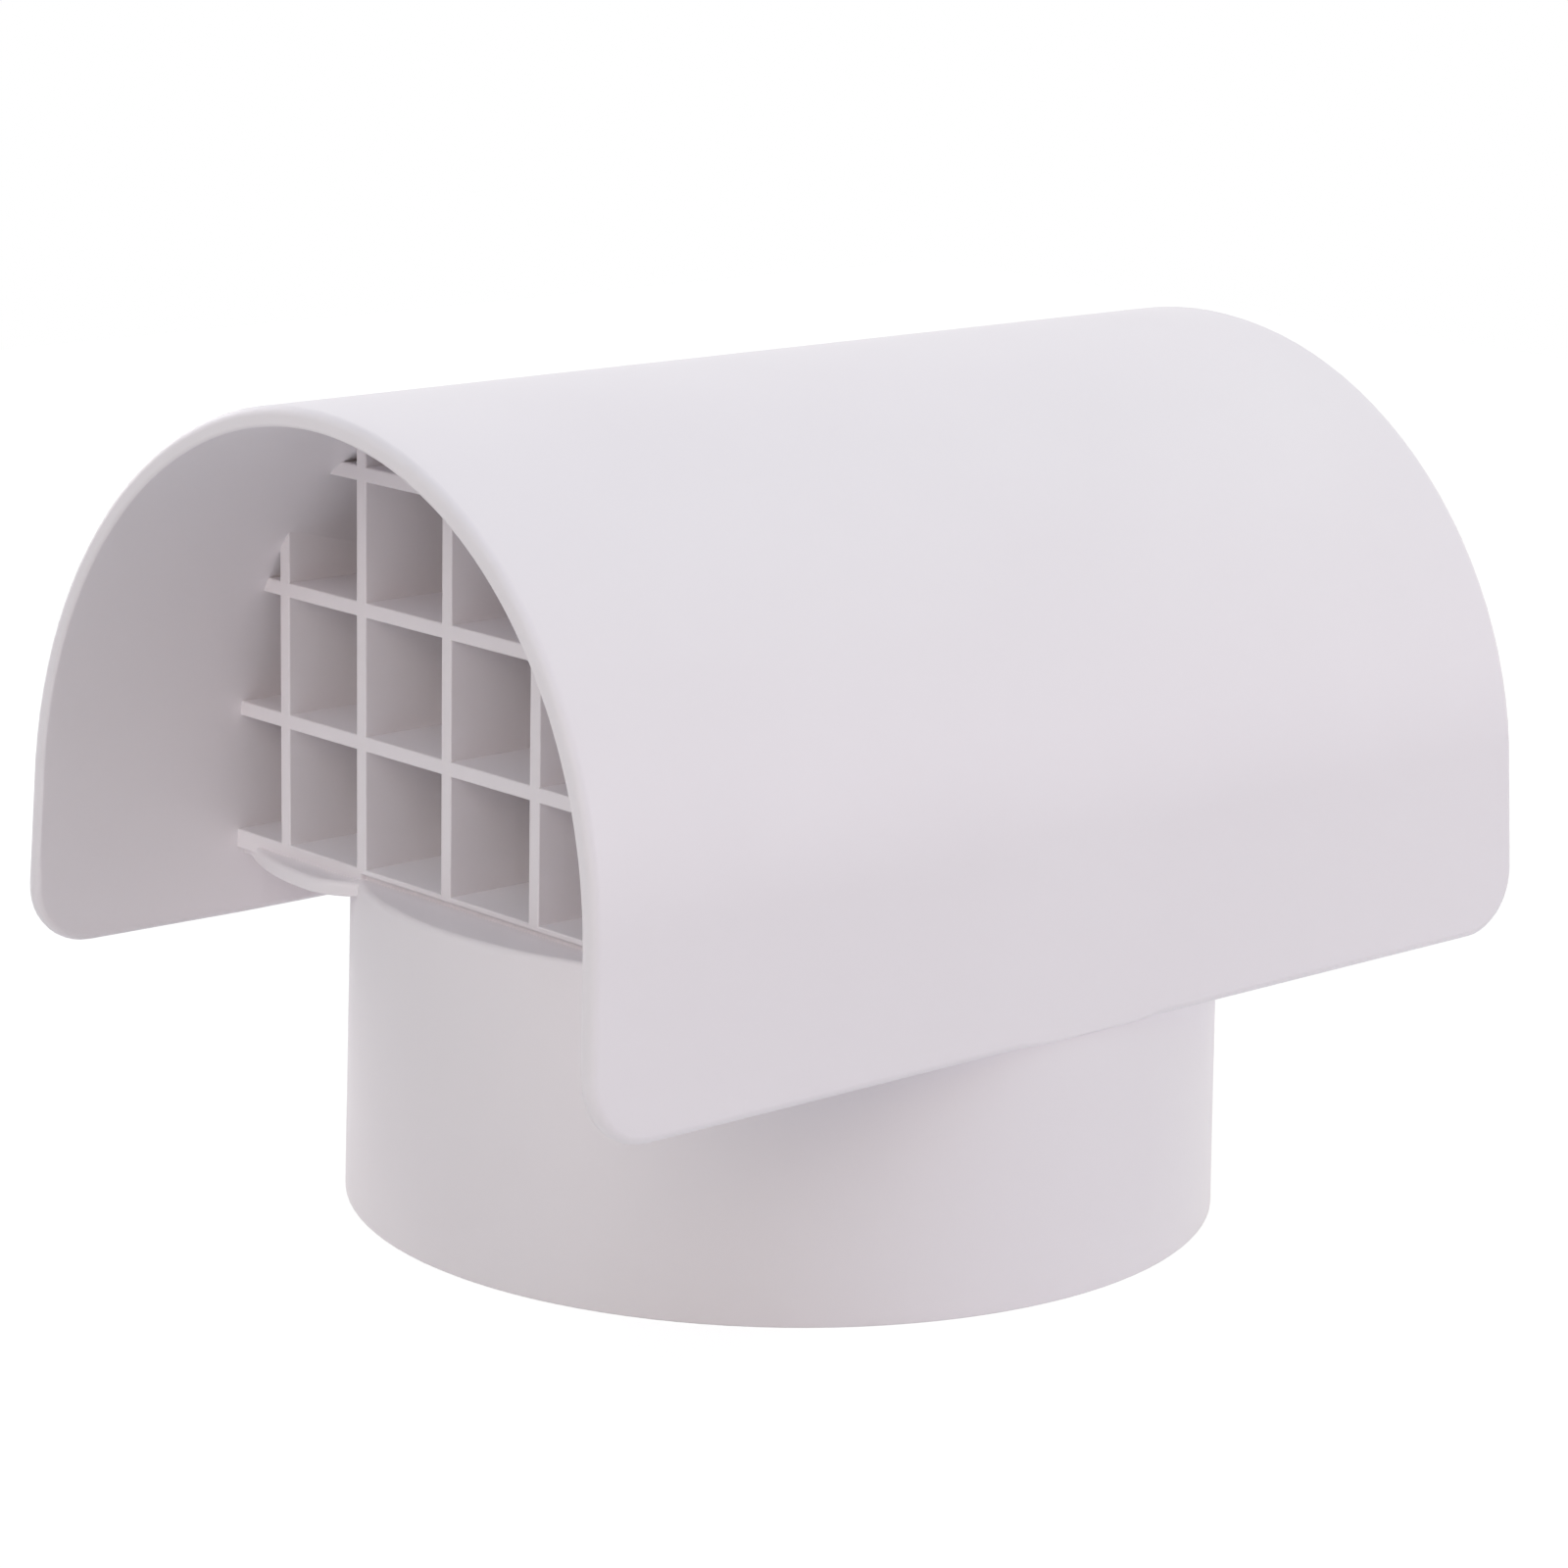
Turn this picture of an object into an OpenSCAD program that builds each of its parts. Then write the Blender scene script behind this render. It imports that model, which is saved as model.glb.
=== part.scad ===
// Exhaust vent cap: a barrel-vaulted hood, open at both ends, over a round pipe
// socket. A deep egg-crate grille stands back inside each open end, on a floor
// that closes the space round the throat. The whole cap is one plastic moulding.
// Frame: origin at the centre of the socket's mouth, +Z up, hood along Y.

/* [Pipe socket] */
// Outside diameter of the pipe that the socket slips over
pipe_d = 110; // [100:0.5:125]
// Gap left round the pipe
pipe_gap = 0.2; // [0.1:0.05:0.4]
// Wall of the socket at its mouth
socket_wall = 3; // [2.5:0.1:4]
// Depth that the pipe goes in, up to the floor
socket_depth = 42.4; // [38:0.2:46]
// Draft on the outside of the socket, in degrees
socket_draft = 1; // [0:0.1:2]
// Lead-in chamfer at the mouth
lead_in = 1; // [0.4:0.1:1.5]

/* [Hood] */
// Length of the hood along the feet of its skirts
hood_l = 163.6; // [152:0.2:190]
// Height of the arch's centre above the socket's mouth
arch_z = 55.4; // [53:0.2:62]
// Height of the skirts' lower edge above the socket's mouth
skirt_z = 34; // [26:0.5:36]
// Outward lean of the skirts, in degrees
skirt_lean = 2.4; // [1:0.1:6]
// Outward lean of the open ends, in degrees
end_lean = 2.4; // [0:0.1:4]
// Skin at the open ends
rim_wall = 2.4; // [2:0.1:3]
// Skin at the grille, where the inside draft ends
root_wall = 3.8; // [3.2:0.1:5]
// Radius of the skirts' lower corners
corner_r = 8.5; // [4:0.5:14]

/* [Floor] */
// Thickness of the floor that stops the pipe
floor_t = 2; // [1.6:0.1:3]
// Diameter of the throat through the floor
throat_d = 93; // [84:0.5:94]
// Reach of the floor's ledges in front of the grille
ledge = 4; // [2:0.2:6]
// Distance of a ledge's foremost point from the middle of the hood
ledge_x = 32.4; // [30:0.2:38]
// Radius that a ledge's edge sweeps back on towards the skirt
ledge_sweep_r = 40; // [30:1:80]
// Radius that turns a ledge's edge in towards the socket
ledge_turn_r = 8; // [5:0.5:10]

/* [Grille] */
// Distance from the foot of an open end to the face of its grille
grille_in = 31.4; // [26:0.2:34]
// Depth of the fins, from the face of a grille to the chamber behind it
fin_depth = 20; // [14:0.5:24]
// Thickness of a grille bar
bar_t = 2; // [1.6:0.1:2.4]
// Pitch of the bars
bar_pitch = 17.6; // [16:0.1:18]
// Pitch of the narrower cell beside the outer upright
side_pitch = 16.4; // [14:0.1:17]
// Height of the lowest crossbar's middle above the floor
first_bar = 18.3; // [16:0.1:19]
// Height of the sill along the foot of the grille
sill_h = 1.6; // [1.4:0.1:3]
// Height and depth of the witness groove at the foot of the sill
groove = 0.8; // [0.5:0.1:1.2]

/* [Hidden] */
$fn = 128;
eps = 1;
// The leaning sides stand this far inside the arch's tangent, so that the faces cross
tuck = 0.02;
bore_r = pipe_d / 2 + pipe_gap;
mouth_r = bore_r + socket_wall;
floor_z = socket_depth + floor_t;
collar_top_r = mouth_r - floor_z * tan(socket_draft);
// The skirts' feet stand flush with the socket where they cross it
foot_x = mouth_r - skirt_z * tan(socket_draft) + 0.1;
hood_r = (foot_x - (arch_z - skirt_z) * tan(skirt_lean)) * cos(skirt_lean);
hood_top = arch_z + hood_r;
half_l = hood_l / 2;
grille_y = half_l - grille_in;
rim_r = hood_r - rim_wall;
root_r = hood_r - root_wall;
// The inside draft ends a little behind the grille's face, clear of its edges
straight_y = grille_y - bar_t / 2;
draft_slope = (root_wall - rim_wall) / (half_l - straight_y);
throat_r = throat_d / 2;
chamber_y = grille_y - fin_depth;
crossbars = floor((hood_top - root_wall - floor_z - first_bar) / bar_pitch);
uprights = [for (k = [0.5, 1.5]) k * bar_pitch];
outer_upright = uprights[1] + side_pitch;

// Plan of one side as a closed outline back to x
function closed_plan(plan, x) = concat([[x, plan[0][1]]], plan, [[x, plan[len(plan) - 1][1]]]);

// Prism of the section between the two leaning sides; plan is the half width
// along the lean against Y
module leaning_sides(plan) {
    for (side = [0, 1])
        mirror([side, 0, 0])
            translate([0, 0, arch_z])
                rotate([0, -skirt_lean, 0])
                    translate([0, 0, -arch_z - eps])
                        linear_extrude(arch_z + eps)
                            polygon(closed_plan([for (p = plan) [p[0] - tuck, p[1]]], -hood_r / 3));
}

// Sector of a barrel above the leaning sides, turned about the hood's axis
module arch_turn(plan) {
    translate([0, 0, arch_z])
        rotate([-90, 0, 0])
            rotate_extrude()
                polygon(closed_plan(plan, 0));
}

// Barrel form that takes in the arch and both skirts
module vault(plan) {
    arch_turn(plan);
    leaning_sides(plan);
}

// Corner between a skirt's foot and its leaning end, outside the corner's round
module foot_corner() {
    reach = corner_r + eps;
    corner_y = half_l - corner_r * (tan(end_lean) + 1 / cos(end_lean));
    translate([corner_y, skirt_z + corner_r])
        difference() {
            polygon([
                [0, 0],
                [0, -reach],
                [half_l - corner_y + eps, -reach],
                reach * [cos(end_lean), sin(end_lean)],
            ]);
            circle(corner_r);
        }
}

// Side view of the hood, with the skirts' lower corners rounded
module side_form() {
    height = hood_top + eps - skirt_z;
    top_y = half_l - height * tan(end_lean);
    rotate([90, 0, 90])
        linear_extrude(4 * hood_r, center = true)
            difference() {
                translate([0, skirt_z])
                    polygon([[-half_l, 0], [half_l, 0], [top_y, height], [-top_y, height]]);
                for (end = [0, 1])
                    mirror([end, 0])
                        foot_corner();
            }
}

// Outer form of the hood
module hood_outside() {
    intersection() {
        vault([[hood_r, -half_l - eps], [hood_r, half_l + eps]]);
        side_form();
    }
}

// Inside of the hood: straight between the grilles, drafted out to each end
module hood_inside() {
    open_r = rim_r + eps * draft_slope;
    vault([[open_r, -half_l - eps], [root_r, -straight_y], [root_r, straight_y], [open_r, half_l + eps]]);
}

module hood_shell() {
    difference() {
        hood_outside();
        hood_inside();
    }
}

// Egg-crate of uprights and crossbars between the two grille faces
module crate() {
    for (side = [-1, 1], x = concat(uprights, [outer_upright]))
        translate([side * x - bar_t / 2, -grille_y, floor_z - eps])
            cube([bar_t, 2 * grille_y, hood_top - floor_z]);
    for (k = [0 : crossbars])
        translate([-hood_r, -grille_y, floor_z + first_bar + k * bar_pitch - bar_t / 2])
            cube([2 * hood_r, 2 * grille_y, bar_t]);
    translate([-hood_r, -grille_y, floor_z - eps])
        cube([2 * hood_r, 2 * grille_y, sill_h + eps]);
}

// Plan of the ledge between the socket and one skirt: its edge turns out of the
// socket on a small radius and sweeps back to the skirt on a large one
module ledge_plan() {
    front = grille_y + ledge;
    intersection() {
        translate([ledge_x, front - ledge_sweep_r])
            circle(ledge_sweep_r);
        translate([ledge_x, 0])
            square([hood_r, front + eps]);
    }
    intersection() {
        translate([ledge_x, front - ledge_turn_r])
            circle(ledge_turn_r);
        translate([0, front - ledge_turn_r])
            square([ledge_x, ledge_turn_r + eps]);
    }
    translate([ledge_x - ledge_turn_r, 0])
        square([ledge_turn_r, front - ledge_turn_r]);
}

// Floor plate from skirt to skirt, with a ledge on each side of the socket
module floor_plate() {
    translate([0, 0, socket_depth])
        linear_extrude(floor_t) {
            square([2 * hood_r, 2 * grille_y - bar_t], center = true);
            for (across = [0, 1], along = [0, 1])
                mirror([across, 0])
                    mirror([0, along])
                        ledge_plan();
        }
}

// Socket for the pipe, drafted on the outside
module socket() {
    cylinder(h = floor_z, r1 = mouth_r, r2 = collar_top_r);
}

// What stands between the skirts grows out of the middle of their skin
module inside_parts() {
    skin_r = hood_r - root_wall / 2;
    intersection() {
        union() {
            socket();
            floor_plate();
            crate();
        }
        vault([[skin_r, -half_l], [skin_r, half_l]]);
    }
}

// Fine groove along the foot of each sill, over the socket
module witness_groove() {
    for (end = [0, 1])
        mirror([0, end, 0])
            translate([-uprights[1], -grille_y - eps, floor_z])
                cube([2 * uprights[1], groove + eps, groove]);
}

// Bore for the pipe, with its lead-in
module pipe_bore() {
    translate([0, 0, -eps])
        cylinder(h = socket_depth + eps, r = bore_r);
    translate([0, 0, -eps])
        cylinder(h = lead_in + eps, r1 = bore_r + lead_in + eps, r2 = bore_r);
}

// Throat through the floor, which goes on as the chamber between the two sets of fins
module throat() {
    intersection() {
        cylinder(h = hood_top, r = throat_r);
        translate([-hood_r, -chamber_y, 0])
            cube([2 * hood_r, 2 * chamber_y, hood_top + eps]);
    }
}

// Socket below the skirts' feet, where it stands free of them
module socket_foot() {
    intersection() {
        socket();
        cylinder(h = skirt_z, r = 2 * mouth_r);
    }
}

module vent_cap() {
    color([0.89, 0.87, 0.89])
        difference() {
            union() {
                hood_shell();
                difference() {
                    union() {
                        inside_parts();
                        socket_foot();
                    }
                    throat();
                    witness_groove();
                }
            }
            pipe_bore();
        }
}

vent_cap();
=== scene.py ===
"""Exhaust vent cap, dressed for rendering: one off-white plastic moulding on a pale floor."""

from math import copysign, cos, hypot, radians, sin, sqrt, tan

import bmesh
import bpy
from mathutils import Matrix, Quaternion, Vector


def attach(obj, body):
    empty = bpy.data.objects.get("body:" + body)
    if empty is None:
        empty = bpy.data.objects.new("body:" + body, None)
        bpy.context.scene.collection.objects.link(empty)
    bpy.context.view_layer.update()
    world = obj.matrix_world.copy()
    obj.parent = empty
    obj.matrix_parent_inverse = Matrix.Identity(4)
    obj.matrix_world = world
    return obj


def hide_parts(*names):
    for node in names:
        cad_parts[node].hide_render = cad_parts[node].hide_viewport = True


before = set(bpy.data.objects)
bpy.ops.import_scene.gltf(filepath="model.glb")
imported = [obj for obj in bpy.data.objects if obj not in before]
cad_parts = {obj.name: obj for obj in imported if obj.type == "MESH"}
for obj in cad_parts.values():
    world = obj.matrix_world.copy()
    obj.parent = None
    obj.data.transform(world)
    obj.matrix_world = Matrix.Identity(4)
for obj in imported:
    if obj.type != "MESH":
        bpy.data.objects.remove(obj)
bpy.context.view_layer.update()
MM = 0.001

# The camera looks at one open end and the flank, from a little above the hood's
# floor. Its place is found from the outlines of the cap in the photograph.
VIEW_AZIMUTH = radians(47.48)
VIEW_ELEVATION = radians(13.47)
VIEW_ROLL = radians(1.19)
VIEW_DISTANCE = 632.7 * MM
VIEW_TARGET = Vector((-0.69, 0.21, 54.82)) * MM
PHOTO_SIDE = 1600
FOCAL_PIXELS = 4874
SENSOR_WIDTH = 36
NEAREST_SEEN = 10 * MM

back = Vector((
    sin(VIEW_AZIMUTH) * cos(VIEW_ELEVATION),
    -cos(VIEW_AZIMUTH) * cos(VIEW_ELEVATION),
    sin(VIEW_ELEVATION),
))
camera_data = bpy.data.cameras.new("camera")
camera_data.sensor_width = SENSOR_WIDTH
camera_data.lens = SENSOR_WIDTH * FOCAL_PIXELS / PHOTO_SIDE
camera_data.clip_start = NEAREST_SEEN
camera = bpy.data.objects.new("camera", camera_data)
camera.rotation_mode = "QUATERNION"
camera.location = VIEW_TARGET + back * VIEW_DISTANCE
camera.rotation_quaternion = (-back).to_track_quat("-Z", "Y") @ Quaternion((0, 0, 1), VIEW_ROLL)
bpy.context.scene.collection.objects.link(camera)
bpy.context.scene.camera = camera


# The moulding is the whole cap, injection moulded in one shot of stiff off-white
# plastic: hood, skirts, floor, grilles and socket. It slips over a pipe end, and
# nothing is fixed to it. Its edges leave the tool rounded, the hood's rims, the
# skirts' feet and the ledges more than the grille.
ARCH_Z = 55.4 * MM
HOOD_R = 56.76 * MM
FOOT_X = 57.71 * MM
SKIRT_Z = 34 * MM
SKIRT_LEAN = radians(2.4)
FLOOR_Z = 44.4 * MM
GRILLE_Y = 50.4 * MM
# Radius of the socket at the height of the skirts' feet
SOCKET_R = 57.61 * MM
# The hood's end faces lie beyond END_Y, and its lower corners below CORNER_TOP
END_Y = 70 * MM
CORNER_TOP = 42.8 * MM
RIM_ROUND = 1.2 * MM
FOOT_ROUND = 0.9 * MM
INNER_ROUND = 0.5 * MM
LEDGE_ROUND = 0.8 * MM
FINE_ROUND = 0.25 * MM
ROUND_SEGMENTS = 3
# Beside the socket a skirt's foot is narrow, so its rounding takes up only a share
# of it there. The foot is cut at these distances from the middle to let it shrink,
# and the socket's edge stands back from the skirt's face by FOOT_LEAST at least.
FOOT_STEPS = (3 * MM, 6 * MM, 8.5 * MM, 10.5 * MM, 13 * MM, 24 * MM)
FOOT_SHARE = 0.8
FOOT_LEAST = 0.6 * MM
# The vertices of a foot's full rounding all lie within this distance of its corner
FOOT_SPREAD = 1.3 * RIM_ROUND
# Edges that turn by less than FLAT are dissolved, by more than SHARP are rounded,
# and by more than CREASE keep a crease in their shading
FLAT = radians(0.2)
SHARP = radians(28)
CREASE = radians(40)
WELD = 0.002 * MM
REACH = 0.05 * MM


def at_height(points, height):
    """Whether all the points lie at one height."""
    return all(abs(point.z - height) < REACH for point in points)


def on_outside(point):
    """Whether a point lies on the outer face of the hood or a skirt."""
    if point.z > ARCH_Z:
        return abs(hypot(point.x, point.z - ARCH_Z) - HOOD_R) < REACH
    return abs(abs(point.x) + (point.z - SKIRT_Z) * tan(SKIRT_LEAN) - FOOT_X) < REACH


def on_socket(point):
    """Whether a point lies on the socket's outside at the height of the skirts' feet."""
    return at_height([point], SKIRT_Z) and abs(hypot(point.x, point.y) - SOCKET_R) < REACH


def is_foot(edge):
    """Whether an edge is the outer edge along a skirt's foot."""
    ends = [v.co for v in edge.verts]
    return at_height(ends, SKIRT_Z) and all(on_outside(p) for p in ends)


def rounding(edge):
    """Radius that an outer corner leaves the tool with, by where its edge lies."""
    ends = [v.co for v in edge.verts]
    middle = (ends[0] + ends[1]) / 2
    if all(on_outside(p) for p in ends):
        return RIM_ROUND
    if at_height(ends, SKIRT_Z):
        return FOOT_ROUND if abs(middle.y) > FOOT_STEPS[-1] else 0
    if abs(middle.y) > END_Y:
        return FOOT_ROUND if middle.z < CORNER_TOP else INNER_ROUND
    if at_height(ends, FLOOR_Z) and abs(middle.y) > GRILLE_Y + REACH:
        return LEDGE_ROUND
    return FINE_ROUND


cap = bpy.data.objects.new("vent_cap_moulding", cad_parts["vent_cap"].data.copy())
bpy.context.scene.collection.objects.link(cap)
shell = bmesh.new()
shell.from_mesh(cap.data)
bmesh.ops.remove_doubles(shell, verts=shell.verts, dist=WELD)
bmesh.ops.dissolve_limit(shell, angle_limit=FLAT, verts=shell.verts, edges=shell.edges)
for step in [side * s for side in (-1, 1) for s in FOOT_STEPS]:
    faces = {f for e in shell.edges if is_foot(e) for f in e.link_faces}
    edges = {e for f in faces for e in f.edges}
    cut = list(faces) + list(edges) + list({v for e in edges for v in e.verts})
    bmesh.ops.bisect_plane(shell, geom=cut, plane_co=(0, step, 0), plane_no=(0, 1, 0), dist=WELD)
share = shell.edges.layers.float.new("bevel_weight_edge")
for edge in shell.edges:
    if edge.is_manifold and edge.is_convex and edge.calc_face_angle() > SHARP:
        edge[share] = rounding(edge) / RIM_ROUND
shell.to_mesh(cap.data)
shell.free()

# The rounding is made part of the mesh, and then fitted to the skirts' feet
rounded = cap.modifiers.new("rounded_corners", "BEVEL")
rounded.limit_method = "WEIGHT"
rounded.width = RIM_ROUND
rounded.segments = ROUND_SEGMENTS
rounded.use_clamp_overlap = False
solid = cap.evaluated_get(bpy.context.evaluated_depsgraph_get())
cap.data = bpy.data.meshes.new_from_object(solid)
cap.modifiers.clear()
shell = bmesh.new()
shell.from_mesh(cap.data)
for vert in shell.verts:
    corner = Vector((copysign(FOOT_X, vert.co.x), vert.co.y, SKIRT_Z))
    if abs(vert.co.y) > FOOT_STEPS[-1] or (vert.co - corner).length > FOOT_SPREAD:
        continue
    if on_socket(vert.co):
        vert.co.x = copysign(min(abs(vert.co.x), FOOT_X - FOOT_LEAST), vert.co.x)
    else:
        foot = FOOT_X - sqrt(SOCKET_R ** 2 - vert.co.y ** 2)
        fitting = min(RIM_ROUND, FOOT_SHARE * max(foot, FOOT_LEAST))
        vert.co = corner + (vert.co - corner) * fitting / RIM_ROUND
for face in shell.faces:
    face.smooth = True
shell.normal_update()
for edge in shell.edges:
    edge.smooth = edge.calc_face_angle() < CREASE
shell.to_mesh(cap.data)
shell.free()
weighted = cap.modifiers.new("weighted_normals", "WEIGHTED_NORMAL")
weighted.keep_sharp = True
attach(cap, "root")
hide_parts("vent_cap")


class Shade:
    """Wraps an output socket, so that arithmetic on it adds Math nodes to its material."""

    def __init__(self, tree, socket=None):
        self.tree = tree
        self.socket = socket

    def node(self, kind, settings=None, inputs=None, output=0):
        made = self.tree.nodes.new(kind)
        for name, value in (settings or {}).items():
            setattr(made, name, value)
        for name, value in (inputs or {}).items():
            if isinstance(value, Shade):
                self.tree.links.new(value.socket, made.inputs[name])
            else:
                made.inputs[name].default_value = value
        return Shade(self.tree, made.outputs[output] if made.outputs else None)

    def maths(self, operation, first, second):
        return self.node("ShaderNodeMath", {"operation": operation}, {0: first, 1: second})

    def __add__(self, other):
        return self.maths("ADD", self, other)

    def __radd__(self, other):
        return self.maths("ADD", other, self)

    def __mul__(self, other):
        return self.maths("MULTIPLY", self, other)

    def __rmul__(self, other):
        return self.maths("MULTIPLY", other, self)


def new_material(name):
    """An empty material and the sheet on which its nodes are made."""
    material = bpy.data.materials.new(name)
    material.use_nodes = True
    material.node_tree.nodes.clear()
    return material, Shade(material.node_tree)


# Satin plastic: two tints that drift over some centimetres, a fine grain from the
# tool's spark-eroded face, and the faint waves of a thick wall. Its patterns are
# in patches to a metre, and the bump's heights in shares of its depth.
PALE = (0.85, 0.815, 0.845, 1)
DUSKY = (0.826, 0.787, 0.817, 1)
DRIFT_PATCHES = 28
GRAIN_PATCHES = 2600
WAVE_PATCHES = 45
TINT_BY_DRIFT = 0.8
TINT_BY_GRAIN = 0.2
ROUGHNESS = 0.42
ROUGHNESS_DRIFT = 0.1
SHEEN = 0.4
WAVE_HEIGHT = 0.25
GRAIN_HEIGHT = 0.02
BUMP_STRENGTH = 0.25
BUMP_DEPTH = 0.4 * MM

plastic, sheet = new_material("satin_off_white_plastic")
place = sheet.node("ShaderNodeTexCoord", output="Object")


def noise(scale, detail):
    """Soft noise in space; scale is in patches to a metre."""
    values = {"Vector": place, "Scale": scale, "Detail": detail}
    return sheet.node("ShaderNodeTexNoise", {"noise_dimensions": "3D"}, values)


drift = noise(DRIFT_PATCHES, 2)
grain = noise(GRAIN_PATCHES, 3)
waves = noise(WAVE_PATCHES, 1)
shift = drift * TINT_BY_DRIFT + grain * TINT_BY_GRAIN
tint = sheet.node(
    "ShaderNodeMix", {"data_type": "RGBA"},
    {"Factor": shift, "A": PALE, "B": DUSKY}, "Result",
)
height = waves * WAVE_HEIGHT + grain * GRAIN_HEIGHT
bump = sheet.node(
    "ShaderNodeBump", None,
    {"Strength": BUMP_STRENGTH, "Distance": BUMP_DEPTH, "Height": height},
)
skin = sheet.node(
    "ShaderNodeBsdfPrincipled", None,
    {
        "Base Color": tint,
        "Roughness": ROUGHNESS + drift * ROUGHNESS_DRIFT,
        "Specular IOR Level": SHEEN,
        "Normal": bump,
    },
)
sheet.node("ShaderNodeOutputMaterial", None, {"Surface": skin})
cap.data.materials.clear()
cap.data.materials.append(plastic)


def seen_background(sheet):
    """1 for the rays that show the background: the camera's, reflections and glass."""
    camera = sheet.node("ShaderNodeLightPath", output="Is Camera Ray")
    glossy = sheet.node("ShaderNodeLightPath", output="Is Glossy Ray")
    through = sheet.node("ShaderNodeLightPath", output="Is Transmission Ray")
    return sheet.maths("MAXIMUM", sheet.maths("MAXIMUM", camera, glossy), through)


# The floor is a pale plain sheet. The camera sees it as white, apart from the
# faint shadow that the cap keeps on it.
FLOOR_HALF = 0.7
FLOOR_PALE = (0.86, 0.86, 0.86, 1)
FLOOR_SEEN = (0.28, 0.28, 0.28, 1)
FLOOR_GLOW = 0.83

floor_mesh = bpy.data.meshes.new("floor")
ground = bmesh.new()
bmesh.ops.create_grid(ground, x_segments=1, y_segments=1, size=FLOOR_HALF)
ground.to_mesh(floor_mesh)
ground.free()
floor = bpy.data.objects.new("floor", floor_mesh)
bpy.context.scene.collection.objects.link(floor)
pale, sheet = new_material("pale_floor")
plain = sheet.node("ShaderNodeBsdfDiffuse", None, {"Color": FLOOR_PALE})
dim = sheet.node("ShaderNodeBsdfDiffuse", None, {"Color": FLOOR_SEEN})
glow = sheet.node("ShaderNodeEmission", None, {"Strength": FLOOR_GLOW})
bright = sheet.node("ShaderNodeAddShader", None, {0: dim, 1: glow})
mixed = sheet.node("ShaderNodeMixShader", None, {0: seen_background(sheet), 1: plain, 2: bright})
sheet.node("ShaderNodeOutputMaterial", None, {"Surface": mixed})
floor_mesh.materials.append(pale)


# Soft studio light: broad lamps all round and overhead, in a dim even room. The low
# one in front is weak and a little warm, so that what faces the camera stays darker
# than the flank and the roof. The one above it reaches in over the grille's bars.
# It and the one behind on the right glance along the roof, and both are wide, so
# that the roof keeps its shape where it is seen end on.
ROOM = 0.05
WHITE = (1, 1, 1, 1)
LAMP_DISTANCE = 1400 * MM

world = bpy.data.worlds.new("room")
world.use_nodes = True
world.node_tree.nodes.clear()
bpy.context.scene.world = world
sheet = Shade(world.node_tree)
strength = seen_background(sheet) * (1 - ROOM) + ROOM
room = sheet.node("ShaderNodeBackground", None, {"Color": WHITE, "Strength": strength})
sheet.node("ShaderNodeOutputWorld", None, {"Surface": room})


def lamp(name, azimuth, elevation, size_mm, watts, colour):
    """A square soft lamp that faces the cap; azimuth is in degrees from -Y towards +X."""
    data = bpy.data.lights.new(name, "AREA")
    data.size = size_mm * MM
    data.energy = watts
    data.color = colour
    across, up = radians(azimuth), radians(elevation)
    towards = Vector((sin(across) * cos(up), -cos(across) * cos(up), sin(up)))
    made = bpy.data.objects.new(name, data)
    made.location = VIEW_TARGET + towards * LAMP_DISTANCE
    made.rotation_mode = "QUATERNION"
    made.rotation_quaternion = (-towards).to_track_quat("-Z", "Y")
    bpy.context.scene.collection.objects.link(made)


lamp("overhead", 47, 88, 1300, 6.0, (0.89, 0.98, 1.13))
lamp("front_high", 20, 40, 1200, 6.6, (0.93, 1.02, 1.05))
lamp("front_low", 30, 20, 900, 3.0, (1.23, 0.96, 0.81))
lamp("left", -90, 15, 900, 7.7, (1.04, 0.98, 0.98))
lamp("right", 120, 8, 800, 6.05, (1, 0.94, 1.06))
lamp("back_right", 170, 25, 1500, 7.9, (1.03, 1.06, 0.91))
lamp("back", 227, 40, 1000, 2.2, (1.08, 0.96, 0.96))

bpy.context.scene.view_settings.view_transform = "Standard"
